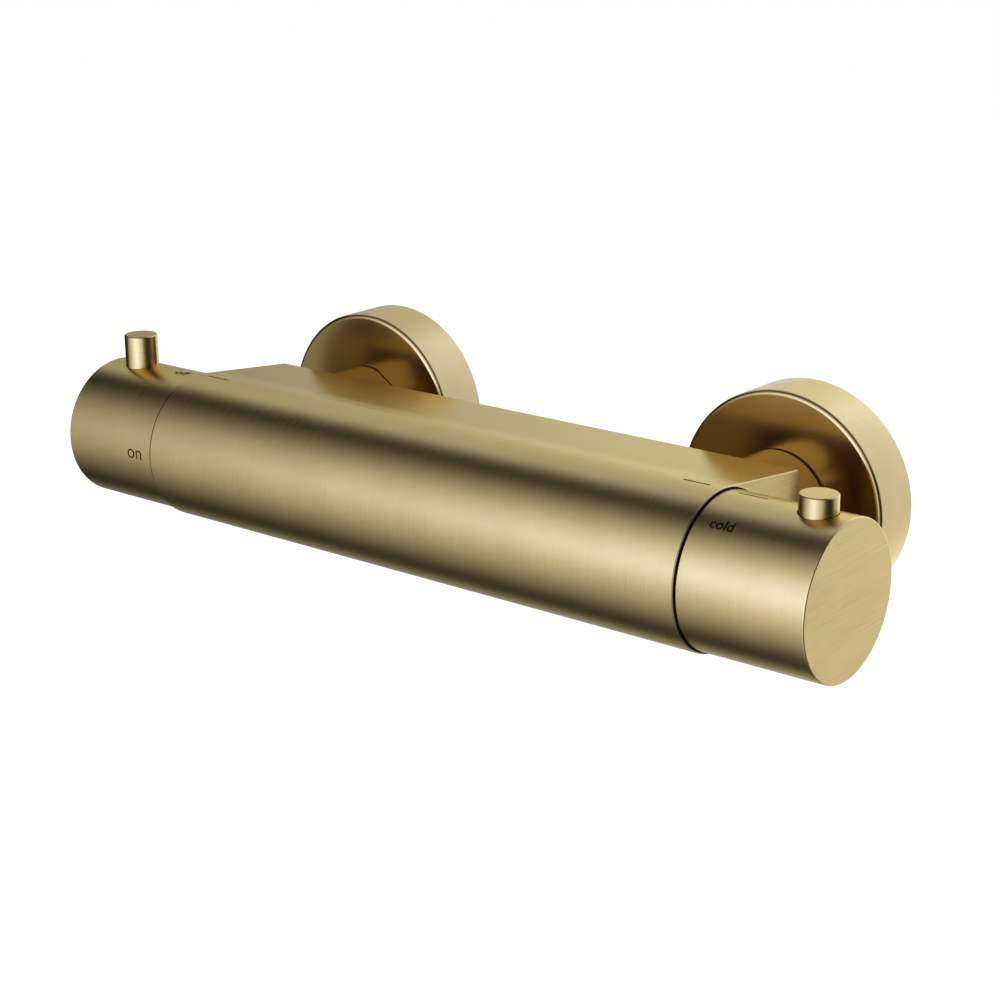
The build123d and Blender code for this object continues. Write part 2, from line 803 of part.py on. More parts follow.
# Inlets, drawn on the bar's axis and moved out to each side
def inlet_nipple():
    floor = block_depth - nipple_depth
    neck_end = block_depth + nipple_neck
    nipple = rod_y(nipple_radius - running_clearance, floor, neck_end)
    nipple += rod_y(nipple_collar_radius, neck_end, washer_start)
    nipple -= rod_y(valve_radius + slip_clearance, valve_start, washer_start)
    return nipple - hexagon_y(nipple_hex, floor, valve_start)


def check_valve():
    sleeve = tube_y(valve_radius, valve_radius - valve_wall, valve_start, valve_end)
    sleeve += tube_y(valve_radius - valve_wall / 2, valve_seat_radius, valve_seat_start, valve_end)
    spider_end = valve_start + valve_spider
    arm = block((-valve_radius + valve_wall / 2, valve_start, -valve_spider_arm / 2),
                (valve_radius - valve_wall / 2, spider_end, valve_spider_arm / 2))
    sleeve += arm + Rot(0, 90, 0) * arm
    sleeve += rod_y(valve_spider_hub_radius, valve_start, spider_end)
    return sleeve - rod_y(poppet_stem_radius + running_clearance, valve_start, spider_end)


def check_poppet():
    face = valve_seat_start - poppet_seat_gap
    poppet = rod_y(poppet_radius, face - poppet_thickness, face)
    return poppet + rod_y(poppet_stem_radius, valve_start + poppet_travel - valve_spider, face)


def check_spring():
    top = valve_seat_start - poppet_seat_gap - poppet_thickness
    spring = coil_spring(
        valve_spring_radius, valve_spring_wire, valve_start + valve_spider, top, valve_spring_turns)
    return Rot(-90, 0, 0) * spring


def union_nut(turn):
    start = block_depth + seat_gap
    lip_end = start + nut_lip
    nut = turned_y(edge_bevels(start, nut_end, nut_radius, nut_edge_chamfer))
    flats = nut_across_flats / 2
    nut &= Rot(0, turn, 0) * block((-flats, start, -nut_radius), (flats, nut_end, nut_radius))
    nut -= rod_y(nipple_radius + seat_gap, start, lip_end)
    return nut - rod_y(connector_thread_radius + thread_clearance, lip_end, nut_end)


def inlet_washer():
    outer = connector_thread_radius - seat_gap
    return tube_y(outer, valve_radius, washer_start, washer_start + washer_thickness)


# Eccentric connector: a front thread for the nut, a shoulder and the wall thread below the bar's axis
def wall_connector():
    front = washer_start + washer_thickness
    shoulder = front + connector_front
    thread = shoulder + connector_shoulder
    low = Pos(0, 0, -eccentric_offset)
    connector = rod_y(connector_thread_radius, front, thread)
    connector += low * rod_y(connector_shoulder_radius, shoulder, thread)
    connector += low * rod_y(wall_thread_radius, thread, wall_distance + wall_thread_reach)
    connector -= rod_y(connector_bore_radius, front, shoulder + connector_shoulder / 2)
    return connector - low * rod_y(wall_thread_bore, shoulder, wall_distance + wall_thread_reach)


# Wall flange: a turned cup, open to the wall, with a boss on the connector's front thread
def wall_flange():
    front = wall_distance - flange_depth
    hole = connector_thread_radius + thread_clearance
    boss = hole + flange_boss_wall
    inside = flange_radius - flange_wall
    boss_end = front + flange_wall + flange_boss_length
    cup = turned_y([
        (front, hole), (front, flange_radius), (wall_distance, flange_radius), (wall_distance, inside),
        (front + flange_wall, inside), (front + flange_wall, boss), (boss_end, boss), (boss_end, hole)])
    front_edges = cup.edges().filter_by(GeomType.CIRCLE).group_by(Axis.Y)[0]
    return fillet(front_edges.sort_by(SortBy.RADIUS)[-1], flange_edge_round)


def flange_seal():
    outer = flange_radius - flange_wall - slip_clearance
    return tube_y(outer, outer - flange_seal_width, wall_distance - flange_seal_thickness, wall_distance)


# Outlet under the block
def outlet_nipple():
    seat = -outlet_seat_level
    nipple = rod_z(outlet_thread_radius, seat - outlet_thread_length, seat)
    nipple += rod_z(outlet_shank_radius, seat, seat + outlet_shank_length)
    nipple -= hexagon_z(outlet_hex, seat - outlet_thread_length, seat + outlet_shank_length)
    return Pos(0, outlet_from_axis, 0) * nipple


def outlet_seal():
    seat = -outlet_seat_level
    seal = rod_z(outlet_seal_radius - slip_clearance, seat, seat + outlet_seal_thickness)
    seal -= rod_z(outlet_shank_radius, seat, seat + outlet_seal_thickness)
    return Pos(0, outlet_from_axis, 0) * seal


# Every piece under the name of its node
pieces["bar_body"] = bar_body()
pieces["flow_handle"] = flow_handle()
pieces["lever_pin"] = lever_pin()
pieces["flow_adaptor"] = flow_adaptor()
pieces["flow_adaptor_screw"] = to_left * adaptor_screw(flow_start)
pieces["flow_grub_screw"] = to_left * grub_screw(flow_start)
pieces["headwork_body"] = headwork_body()
pieces["headwork_spindle"] = headwork_spindle()
pieces["moving_disc"] = moving_disc()
pieces["fixed_disc"] = fixed_disc()
pieces["headwork_seal"] = headwork_seal()
pieces["headwork_o_ring"] = headwork_o_ring()
pieces["glide_ring"] = glide_ring()
pieces["temperature_handle"] = temperature_handle()
pieces["temperature_adaptor"] = temperature_adaptor()
pieces["temperature_adaptor_screw"] = adaptor_screw(temperature_start)
pieces["temperature_grub_screw"] = grub_screw(temperature_start)
pieces["stop_button"] = stop_button()
pieces["button_spring"] = button_spring()
pieces["temperature_stop_ring"] = temperature_stop_ring()
pieces["thermostat_housing"] = thermostat_housing()
pieces["thermostat_o_rings"] = thermostat_o_rings()
pieces["thermostat_nut"] = thermostat_nut()
pieces["thermostat_spindle"] = thermostat_spindle()
pieces["overload_carrier"] = overload_carrier()
pieces["overload_plunger"] = overload_plunger()
pieces["overload_spring"] = overload_spring()
pieces["wax_element"] = wax_element()
pieces["regulating_shuttle"] = regulating_shuttle()
pieces["return_spring"] = return_spring()
pieces["outlet_nipple"] = outlet_nipple()
pieces["outlet_seal"] = outlet_seal()
for side, x, nut_turn in (("hot", -inlet_x, hot_nut_turn), ("cold", inlet_x, cold_nut_turn)):
    to_inlet = Pos(x, 0, 0)
    pieces[side + "_inlet_nipple"] = to_inlet * inlet_nipple()
    pieces[side + "_check_valve"] = to_inlet * check_valve()
    pieces[side + "_check_poppet"] = to_inlet * check_poppet()
    pieces[side + "_check_spring"] = to_inlet * check_spring()
    pieces[side + "_union_nut"] = to_inlet * union_nut(nut_turn)
    pieces[side + "_inlet_washer"] = to_inlet * inlet_washer()
    pieces[side + "_wall_connector"] = to_inlet * wall_connector()
    pieces[side + "_wall_flange"] = to_inlet * wall_flange()
    pieces[side + "_flange_seal"] = to_inlet * flange_seal()

os.makedirs("parts", exist_ok=True)
for name, piece in pieces.items():
    export_step(to_wall * piece, "parts/" + name + ".step")
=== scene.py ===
import bpy
import bmesh
import math
import numpy as np
from mathutils import Matrix, Vector


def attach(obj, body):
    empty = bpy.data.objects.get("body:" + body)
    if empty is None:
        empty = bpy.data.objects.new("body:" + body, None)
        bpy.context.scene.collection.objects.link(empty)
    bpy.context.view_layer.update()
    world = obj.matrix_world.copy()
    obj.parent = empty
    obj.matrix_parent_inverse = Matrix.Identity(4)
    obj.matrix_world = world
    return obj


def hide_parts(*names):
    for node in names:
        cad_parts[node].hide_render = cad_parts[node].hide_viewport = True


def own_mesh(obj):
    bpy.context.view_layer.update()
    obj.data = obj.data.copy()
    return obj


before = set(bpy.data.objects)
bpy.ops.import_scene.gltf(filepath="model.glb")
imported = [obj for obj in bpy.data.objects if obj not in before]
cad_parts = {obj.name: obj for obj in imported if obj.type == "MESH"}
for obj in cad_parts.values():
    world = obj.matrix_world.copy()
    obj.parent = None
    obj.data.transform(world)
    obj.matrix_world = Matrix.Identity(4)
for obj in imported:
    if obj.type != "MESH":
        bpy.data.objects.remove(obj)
bpy.context.view_layer.update()
scene = bpy.context.scene

# Camera
# The photograph looks down on the bar's right end from about 0.7 m, turned 39 degrees to the left.
# The columns are the camera's right, up and backward directions and its place, from the outlines.
camera_data = bpy.data.cameras.new("camera")
camera_data.sensor_width = 36.0
camera_data.lens = 78.24
camera = bpy.data.objects.new("camera", camera_data)
camera.matrix_world = Matrix((
    (0.77851934, -0.1867663, 0.59918777, 0.37077),
    (0.62758789, 0.24140767, -0.7401728, -0.50249),
    (-0.00640919, 0.95228183, 0.30515281, 0.18976),
    (0.0, 0.0, 0.0, 1.0)))
scene.collection.objects.link(camera)
scene.camera = camera

# Studio
# A pale floor far below the bar, as under a mixer on its wall, with a white room round it.
# The white is the colour of the floor and of the room, and the floor keeps the bar's faint shadow.
scene.view_settings.view_transform = "Standard"


def node(tree, kind, settings=None):
    """Adds a shader node. A setting names a property or an input, and an input takes either a plain
    value or the output that feeds it."""
    made = tree.nodes.new(kind)
    for name, value in (settings or {}).items():
        if isinstance(value, bpy.types.NodeSocket):
            tree.links.new(value, made.inputs[name])
        elif isinstance(name, int) or name in made.inputs:
            made.inputs[name].default_value = value
        else:
            setattr(made, name, value)
    return made


def colour(text):
    """An sRGB hex value as linear light: each channel through the sRGB curve."""
    values = [int(text[i:i + 2], 16) / 255 for i in (0, 2, 4)]
    curve = [v / 12.92 if v <= 0.04045 else ((v + 0.055) / 1.055) ** 2.4 for v in values]
    return (curve[0], curve[1], curve[2], 1.0)


# Noise keeps to about this part of its range from 0 to 1
noise_low, noise_high = 0.3, 0.7


def new_material(name):
    """A node material with nothing in it yet, and its tree."""
    material = bpy.data.materials.new(name)
    material.use_nodes = True
    material.node_tree.nodes.clear()
    return material, material.node_tree


def grid_mesh(name, points, closed_u=False, closed_v=False):
    """A mesh over a grid of points [u, v, xyz]. Each face joins the four neighbours (u, v),
    (u + 1, v), (u + 1, v + 1) and (u, v + 1), and the grid wraps round where closed."""
    count_u, count_v = points.shape[:2]
    u = np.arange(count_u if closed_u else count_u - 1)
    v = np.arange(count_v if closed_v else count_v - 1)
    u, v = (a.ravel() for a in np.meshgrid(u, v, indexing="ij"))
    next_u, next_v = (u + 1) % count_u, (v + 1) % count_v
    faces = np.stack([u * count_v + v, next_u * count_v + v,
                      next_u * count_v + next_v, u * count_v + next_v], 1)
    mesh = bpy.data.meshes.new(name)
    mesh.from_pydata(points.reshape(-1, 3), [], faces.tolist())
    made = bpy.data.objects.new(name, mesh)
    scene.collection.objects.link(made)
    return made


floor_level = -1.25
floor_reach = 9.0
floor_glow = 0.35
square = np.array([[(-1, -1), (-1, 1)], [(1, -1), (1, 1)]]) * floor_reach
floor = grid_mesh("floor", np.concatenate([square, np.full((2, 2, 1), floor_level)], 2))
# White where it is looked at, so that it ends nowhere
floor_paint, tree = new_material("matt white floor paint")
rays = node(tree, "ShaderNodeLightPath")
seen = node(tree, "ShaderNodeMath", {
    "operation": "ADD", "use_clamp": True,
    0: rays.outputs["Is Camera Ray"], 1: rays.outputs["Is Glossy Ray"]})
seen = node(tree, "ShaderNodeMath", {
    "operation": "ADD", "use_clamp": True,
    0: seen.outputs[0], 1: rays.outputs["Is Transmission Ray"]})
lift = node(tree, "ShaderNodeMath", {"operation": "MULTIPLY", 0: seen.outputs[0], 1: floor_glow})
paint = node(tree, "ShaderNodeBsdfDiffuse", {"Color": colour("E4E4E4")})
glow = node(tree, "ShaderNodeEmission", {"Color": (1, 1, 1, 1), "Strength": lift.outputs[0]})
both = node(tree, "ShaderNodeAddShader", {0: paint.outputs[0], 1: glow.outputs[0]})
node(tree, "ShaderNodeOutputMaterial", {"Surface": both.outputs[0]})
floor.data.materials.append(floor_paint)

room = bpy.data.worlds.new("white room")
scene.world = room
room.use_nodes = True
tree = room.node_tree
tree.nodes.clear()
air = node(tree, "ShaderNodeBackground", {"Color": (1, 1, 1, 1), "Strength": 1.0})
node(tree, "ShaderNodeOutputWorld", {"Surface": air.outputs[0]})

# Light tent
# A cloth tube round the bar's own axis, as a photographer hangs round metal, seen only in it.
# It is lit in front and behind, open to the dark overhead and below, and dark past both its ends.
bar_y, bar_z = -0.0715, 0.0075
tent_radius = 1.2
tent_tip = 0.01
tent_half_length = 3.0
around = np.linspace(0, 2 * math.pi, 96, endpoint=False)
# The tube's ends are drawn in to a point, so that it closes
along = np.array([-tent_half_length, -tent_half_length, tent_half_length, tent_half_length])
width = np.array([tent_tip, tent_radius, tent_radius, tent_tip])
turn, station = np.meshgrid(around, along, indexing="ij")
turn, reach = np.meshgrid(around, width, indexing="ij")
tent = grid_mesh("light_tent", np.stack([
    station, bar_y + reach * np.cos(turn), bar_z + reach * np.sin(turn)], 2), closed_u=True)
# Brightness by the angle from straight up towards the front, in degrees, at three stations along
# the tent: left, right and far right
tent_left, tent_right, tent_far_right = -1.114, -0.543, 0.1
tent_tone = (
    (-180, 0.02, 0.035, 0.05), (-169, 0.045, 0.07, 0.12), (-157, 0.20, 0.30, 0.45),
    (-145, 0.27, 0.40, 0.80), (-133, 0.31, 0.48, 1.15), (-120, 0.35, 0.55, 1.35),
    (-105, 0.40, 0.72, 1.50), (-90, 0.45, 0.86, 1.65), (-77, 0.57, 0.95, 1.65),
    (-65, 0.60, 0.94, 1.55), (-53, 0.66, 0.83, 1.45), (-41, 0.71, 0.72, 1.10),
    (-31, 0.81, 0.74, 0.95), (-22, 0.55, 0.53, 0.60), (-13, 0.17, 0.16, 0.18),
    (-4, 0.03, 0.03, 0.03), (6, 0.027, 0.04, 0.04), (14, 0.09, 0.16, 0.18),
    (22, 0.165, 0.31, 0.40), (32, 0.33, 0.58, 0.80), (44, 0.54, 0.90, 1.20),
    (57, 0.78, 1.36, 1.70), (69, 0.92, 1.63, 2.10), (81, 1.02, 1.76, 2.30),
    (93, 0.97, 1.62, 2.20), (106, 0.85, 1.16, 1.95), (118, 0.72, 0.92, 1.50),
    (130, 0.505, 0.69, 1.10), (142, 0.33, 0.465, 0.75), (155, 0.175, 0.25, 0.40),
    (167, 0.057, 0.085, 0.15))
# How much light is left along the tent, which is dark past both ends
tent_ends = (
    (-2.5, 0.06), (-2.1, 0.22), (-1.75, 0.70), (-1.33, 0.96), (-1.1, 1.0), (0.1, 1.0),
    (1.0, 0.60), (1.35, 0.58), (1.75, 0.35), (2.1, 0.12), (2.5, 0.04))
# Both ramps hold their values divided by the peak, and the light multiplies it back
tent_peak = 2.0
tent_light = 1.333
# A slightly cool white, against the warm metal, cooler behind and cooler still where brightest
tent_white = (0.95, 1.105, 1.42, 1)
tent_white_behind = (0.95, 1.15, 1.74, 1)
tent_white_bright = (0.95, 1.30, 2.50, 1)
behind_from, behind_to = bar_y - 0.3, bar_y + 0.6
bright_from, bright_to = 0.95 * tent_light, 1.85 * tent_light
tent_cloth, tree = new_material("light tent cloth")
spot = node(tree, "ShaderNodeTexCoord").outputs["Object"]
place = node(tree, "ShaderNodeSeparateXYZ", {0: spot})
forward = node(tree, "ShaderNodeMath", {"operation": "SUBTRACT", 0: bar_y, 1: place.outputs["Y"]})
upward = node(tree, "ShaderNodeMath", {"operation": "SUBTRACT", 0: place.outputs["Z"], 1: bar_z})
angle = node(tree, "ShaderNodeMath", {
    "operation": "ARCTAN2", 0: forward.outputs[0], 1: upward.outputs[0]})
share = node(tree, "ShaderNodeMapRange", {
    "Value": angle.outputs[0], "From Min": -math.pi, "From Max": math.pi})
tone = node(tree, "ShaderNodeValToRGB", {"Fac": share.outputs[0]})
ramp = tone.color_ramp
for index, (degrees, *levels) in enumerate(tent_tone):
    position = (degrees + 180) / 360
    stop = ramp.elements[0] if index == 0 else ramp.elements.new(position)
    stop.position = position
    stop.color = [level / tent_peak for level in levels] + [1.0]
# The ramp's own last stop closes the round
ramp.elements[-1].position = 1.0
ramp.elements[-1].color = ramp.elements[0].color
tones = node(tree, "ShaderNodeSeparateColor", {0: tone.outputs["Color"]})
# Straight from one station to the next, and on past the left one for half as far again
past_left = 0.55
across = node(tree, "ShaderNodeMapRange", {
    "Value": place.outputs["X"], "From Min": tent_left - past_left * (tent_right - tent_left),
    "From Max": tent_right, "To Min": -past_left, "To Max": 1.0})
strength = node(tree, "ShaderNodeMix", {
    "data_type": "FLOAT", "clamp_factor": False,
    0: across.outputs[0], 2: tones.outputs[0], 3: tones.outputs[1]})
beyond = node(tree, "ShaderNodeMapRange", {
    "Value": place.outputs["X"], "From Min": tent_right, "From Max": tent_far_right})
strength = node(tree, "ShaderNodeMix", {
    "data_type": "FLOAT", 0: beyond.outputs[0], 2: strength.outputs[0], 3: tones.outputs[2]})
share = node(tree, "ShaderNodeMapRange", {
    "Value": place.outputs["X"], "From Min": -tent_half_length, "From Max": tent_half_length})
ends = node(tree, "ShaderNodeValToRGB", {"Fac": share.outputs[0]})
ramp = ends.color_ramp
for index, (x, level) in enumerate(tent_ends):
    position = (x + tent_half_length) / (2 * tent_half_length)
    stop = ramp.elements[index] if index < 2 else ramp.elements.new(position)
    stop.position = position
    stop.color = (level / tent_peak,) * 3 + (1.0,)
strength = node(tree, "ShaderNodeMath", {
    "operation": "MULTIPLY", 0: strength.outputs[0], 1: ends.outputs["Color"]})
strength = node(tree, "ShaderNodeMath", {
    "operation": "MULTIPLY", 0: strength.outputs[0], 1: tent_light * tent_peak ** 2})
strength = node(tree, "ShaderNodeMath", {"operation": "MAXIMUM", 0: strength.outputs[0], 1: 0.0})
behind = node(tree, "ShaderNodeMapRange", {
    "Value": place.outputs["Y"], "From Min": behind_from, "From Max": behind_to})
white = node(tree, "ShaderNodeMix", {
    "data_type": "RGBA", 0: behind.outputs[0], 6: tent_white, 7: tent_white_behind})
bright = node(tree, "ShaderNodeMapRange", {
    "Value": strength.outputs[0], "From Min": bright_from, "From Max": bright_to})
white = node(tree, "ShaderNodeMix", {
    "data_type": "RGBA", 0: bright.outputs[0], 6: white.outputs[2], 7: tent_white_bright})
glow = node(tree, "ShaderNodeEmission", {
    "Color": white.outputs[2], "Strength": strength.outputs[0]})
node(tree, "ShaderNodeOutputMaterial", {"Surface": glow.outputs[0]})
tent_cloth.cycles.emission_sampling = "NONE"
tent.data.materials.append(tent_cloth)
for kind in ("camera", "diffuse", "transmission", "volume_scatter", "shadow"):
    setattr(tent, "visible_" + kind, False)

# Bar body and turned handles
# The body is one brass casting, machined, brushed on a belt round the bar and coated in pale gold.
# Its flat ends, and the handles' caps, are brushed in straight lines instead.
body_end = 0.0925
body_radius = 0.0215
handle_radius = 0.0208
handle_left_end, handle_right_end = -0.1288, 0.129
flow_joint = -0.0932
# Half width and brightness of a line of painted shade on the flow handle by the joint
joint_half_width, joint_shade = 0.00022, 0.25
skin = 0.00005
gold = "B0925B"
edge_gold = (1.0, 0.86, 0.52)
flat_edge_gold = (0.96, 0.79, 0.45, 1)
flat_rough = 0.21
line_contrast, cap_contrast = 0.13, 0.35


def brushed_gold(name, stroke, grain_axis, caps=None, rough=0.28, drawn_out=0.5, flats=False,
                 shade_tint=(1, 1, 1), face=None, step=None, edge=edge_gold):
    """Coated brass with brushed lines. The lines are noise stretched to the stroke's size in
    metres, and the shine is drawn out across them. Past the two caps' stations on X, the lines run
    straight across the face. With flats, the shine is clearer on the block, where the surface
    leaves the round. The tint darkens the coat as painted shade: all over, or on the flats, or
    before the face's station on Y. At the step's station on X a dark line of painted shade stands
    for the shadow where the handle meets the body. The edge is the colour seen at a low angle."""
    material, tree = new_material(name)
    spot = node(tree, "ShaderNodeTexCoord").outputs["Object"]
    place = node(tree, "ShaderNodeSeparateXYZ", {0: spot})
    stretched = node(tree, "ShaderNodeMapping", {
        "vector_type": "TEXTURE", "Vector": spot, "Scale": stroke})
    lines = node(tree, "ShaderNodeTexNoise", {
        "Vector": stretched.outputs[0], "Scale": 1.0, "Detail": 1.5, "Roughness": 0.5}).outputs[0]
    grain = node(tree, "ShaderNodeTangent", {
        "direction_type": "RADIAL", "axis": grain_axis}).outputs[0]
    contrast = line_contrast
    if caps:
        # Straight lines on the caps run level towards the wall, 20 mm long and 0.7 mm wide
        low = node(tree, "ShaderNodeMath", {
            "operation": "LESS_THAN", 0: place.outputs[0], 1: caps[0]})
        high = node(tree, "ShaderNodeMath", {
            "operation": "GREATER_THAN", 0: place.outputs[0], 1: caps[1]})
        on_cap = node(tree, "ShaderNodeMath", {
            "operation": "MAXIMUM", 0: low.outputs[0], 1: high.outputs[0]}).outputs[0]
        straight = node(tree, "ShaderNodeMapping", {
            "vector_type": "TEXTURE", "Vector": spot, "Scale": (0.008, 0.020, 0.0007)})
        straight = node(tree, "ShaderNodeTexNoise", {
            "Vector": straight.outputs[0], "Scale": 1.0, "Detail": 3.0, "Roughness": 0.5})
        lines = node(tree, "ShaderNodeMix", {
            "data_type": "FLOAT", 0: on_cap, 2: lines, 3: straight.outputs[0]}).outputs[0]
        level = node(tree, "ShaderNodeVectorTransform", {
            "vector_type": "VECTOR", "convert_from": "OBJECT", "convert_to": "WORLD",
            "Vector": (0.0, 1.0, 0.0)})
        grain = node(tree, "ShaderNodeMix", {
            "data_type": "VECTOR", 0: on_cap, 4: grain, 5: level.outputs[0]}).outputs[1]
        contrast = node(tree, "ShaderNodeMapRange", {
            "Value": on_cap, "To Min": line_contrast, "To Max": cap_contrast}).outputs[0]
    # Each line is a little lighter or darker
    worn = node(tree, "ShaderNodeMath", {"operation": "SUBTRACT", 0: lines, 1: 0.5})
    worn = node(tree, "ShaderNodeMath", {
        "operation": "MULTIPLY_ADD", 0: worn.outputs[0], 1: contrast, 2: 1.0})
    # Soft patches of about 10 mm where the belt bore harder
    patches = node(tree, "ShaderNodeTexNoise", {"Vector": spot, "Scale": 90.0, "Detail": 2.0})
    even = node(tree, "ShaderNodeMapRange", {
        "Value": patches.outputs[0], "From Min": noise_low, "From Max": noise_high,
        "To Min": 0.965, "To Max": 1.035})
    shade = node(tree, "ShaderNodeMath", {
        "operation": "MULTIPLY", 0: worn.outputs[0], 1: even.outputs[0]})
    # A dark line of painted shade, for the shadow where the handle meets the body
    if step:
        near = node(tree, "ShaderNodeMath", {
            "operation": "COMPARE", 0: place.outputs[0], 1: step, 2: joint_half_width})
        painted_joint_shade = node(tree, "ShaderNodeMapRange", {
            "Value": near.outputs[0], "To Min": 1.0, "To Max": joint_shade})
        shade = node(tree, "ShaderNodeMath", {
            "operation": "MULTIPLY", 0: shade.outputs[0], 1: painted_joint_shade.outputs[0]})
    uneven = node(tree, "ShaderNodeMapRange", {
        "Value": lines, "From Min": noise_low, "From Max": noise_high,
        "To Min": rough - 0.008, "To Max": rough + 0.008}).outputs[0]
    shade_and_finish_mask, edge_tint = 1.0, edge + (1,)
    # Before the face's station on Y the tint is painted shade
    if face:
        shade_and_finish_mask = node(tree, "ShaderNodeMath", {
            "operation": "LESS_THAN", 0: place.outputs[1], 1: face}).outputs[0]
    if flats:
        # Nothing on the round itself, and fully the flat's finish 1 mm further off the bar's axis.
        # The darker coat there is painted shade, for the dark reflection that the block shows
        off_axis = node(tree, "ShaderNodeVectorMath", {
            "operation": "SUBTRACT", 0: spot, 1: (0.0, bar_y, bar_z)})
        off_axis = node(tree, "ShaderNodeVectorMath", {
            "operation": "MULTIPLY", 0: off_axis.outputs[0], 1: (0.0, 1.0, 1.0)})
        off_axis = node(tree, "ShaderNodeVectorMath", {
            "operation": "LENGTH", 0: off_axis.outputs[0]})
        shade_and_finish_mask = node(tree, "ShaderNodeMapRange", {
            "Value": off_axis.outputs["Value"],
            "From Min": body_radius + 0.0001, "From Max": body_radius + 0.0011}).outputs[0]
        uneven = node(tree, "ShaderNodeMix", {
            "data_type": "FLOAT", 0: shade_and_finish_mask, 2: uneven, 3: flat_rough}).outputs[0]
        edge_tint = node(tree, "ShaderNodeMix", {
            "data_type": "RGBA", 0: shade_and_finish_mask, 6: edge_tint, 7: flat_edge_gold}).outputs[2]
    # The tint darkens the base colour where the mask holds, as painted shade
    base = node(tree, "ShaderNodeMix", {
        "data_type": "RGBA", "blend_type": "MULTIPLY", 0: shade_and_finish_mask, 6: colour(gold), 7: shade_tint + (1,)})
    paint = node(tree, "ShaderNodeVectorMath", {
        "operation": "SCALE", 0: base.outputs[2], "Scale": shade.outputs[0]})
    relief = node(tree, "ShaderNodeBump", {
        "Strength": 0.2, "Distance": 0.00005, "Height": patches.outputs[0]})
    shine = node(tree, "ShaderNodeBsdfPrincipled", {
        "Base Color": paint.outputs[0], "Metallic": 1.0, "Roughness": uneven,
        "Anisotropic": drawn_out, "Anisotropic Rotation": 0.25, "Tangent": grain,
        "Specular Tint": edge_tint, "Normal": relief.outputs[0]})
    node(tree, "ShaderNodeOutputMaterial", {"Surface": shine.outputs[0]})
    return material


def finish(material, *names):
    """Gives a finish to nodes whose shape is right as it is."""
    for name in names:
        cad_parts[name].material_slots[0].material = material


# The flats' darker tint is painted shade, for the dark reflection on the block
finish(brushed_gold("gold brass brushed round the bar", (0.0005, 0.015, 0.015), "X",
                    caps=(-body_end + skin, body_end - skin), flats=True,
                    shade_tint=(0.86, 0.84, 0.76)),
       "bar_body")
finish(brushed_gold("gold brass brushed round the handles", (0.0005, 0.015, 0.015), "X",
                    caps=(handle_left_end + skin, handle_right_end - skin), step=flow_joint),
       "flow_handle", "temperature_handle")

# Lever pin and stop button
# Two turned posts, polished round before the coat, so the grain runs round them.
finish(brushed_gold("gold brass polished round the pin", (0.006, 0.006, 0.0003), "Z",
                    rough=0.25, drawn_out=0.2), "lever_pin")
finish(brushed_gold("gold brass polished round the button", (0.006, 0.006, 0.0003), "Z",
                    rough=0.28, drawn_out=0.2), "stop_button")

# Union nuts
# Two swivel nuts with wrench flats, brushed round their own axis.
finish(brushed_gold("gold brass brushed round the nuts", (0.008, 0.0004, 0.008), "Y",
                    rough=0.20, drawn_out=0.2), "hot_union_nut", "cold_union_nut")

# Wall flanges
# Two turned brass cups that hide the pipes, with a rounded front edge, open behind.
# They are brushed round, and the flat front is painted darker and browner, as painted shade for
# the dark reflection it shows.
inlet_x = 0.075
flange_radius = 0.031747
flange_front = -0.017
flange_face = 0.00004
flange_wall = 0.0015
flange_round = 0.0014
flange_hole = 0.0133
flange_boss = 0.0160
flange_boss_end = -0.0115
flange_back_bevel = 0.0003


def turned(name, profile, centre_x, centre_z, steps):
    """A closed profile of (y, radius) points turned round an axis along Y:
    x = radius cos, z = radius sin."""
    profile = np.array(profile)
    turn = np.linspace(0, 2 * math.pi, steps, endpoint=False)
    radius = profile[None, :, 1]
    points = np.stack([centre_x + radius * np.cos(turn)[:, None],
                       np.broadcast_to(profile[None, :, 0], (steps, len(profile))),
                       centre_z + radius * np.sin(turn)[:, None]], 2)
    return grid_mesh(name, points, closed_u=True, closed_v=True)


def smooth(piece, degrees):
    """Smooth shading, with an edge kept sharp where its two faces meet at more than the angle."""
    piece.data.shade_smooth()
    piece.data.set_sharp_from_angle(angle=math.radians(degrees))


def outward(piece):
    """Turns the faces of a closed mesh outwards."""
    shape = bmesh.new()
    shape.from_mesh(piece.data)
    bmesh.ops.recalc_face_normals(shape, faces=shape.faces)
    shape.to_mesh(piece.data)
    shape.free()


def dress(piece, body, material):
    """Names the body that a new piece rides on and its finish."""
    piece.data.materials.append(material)
    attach(piece, body)


quarter = np.linspace(0, math.pi / 2, 13)
front_edge = [(flange_front + flange_round * (1 - math.cos(a)),
               flange_radius - flange_round * (1 - math.sin(a))) for a in quarter]
flange_profile = [(flange_front, flange_hole)] + front_edge + [
    (-flange_back_bevel, flange_radius), (0.0, flange_radius - flange_back_bevel),
    (0.0, flange_radius - flange_wall), (flange_front + flange_wall, flange_radius - flange_wall),
    (flange_front + flange_wall, flange_boss), (flange_boss_end, flange_boss),
    (flange_boss_end, flange_hole)]
# The flat front's darker, browner tint is painted shade
flange_gold = brushed_gold("gold brass brushed round the flanges", (0.010, 0.0005, 0.010), "Y",
                           rough=0.20, drawn_out=0.2, shade_tint=(0.66, 0.61, 0.54),
                           face=flange_front + flange_face, edge=(1.0, 0.87, 0.58))
for side, x in (("hot", -inlet_x), ("cold", inlet_x)):
    flange = turned(side + "_flange_cup", flange_profile, x, bar_z, 256)
    outward(flange)
    smooth(flange, 32)
    dress(flange, "mixer", flange_gold)
    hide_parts(side + "_wall_flange")

# Wall connectors
# Eccentric brass connectors with a 3/4 inch thread in the nut and a 1/2 inch thread in the wall
# elbow, machined bright and left plain. Both threads have 14 turns to the inch.
thread_pitch = 0.001814
thread_depth = 0.00116
half_inch_crest = 0.01048


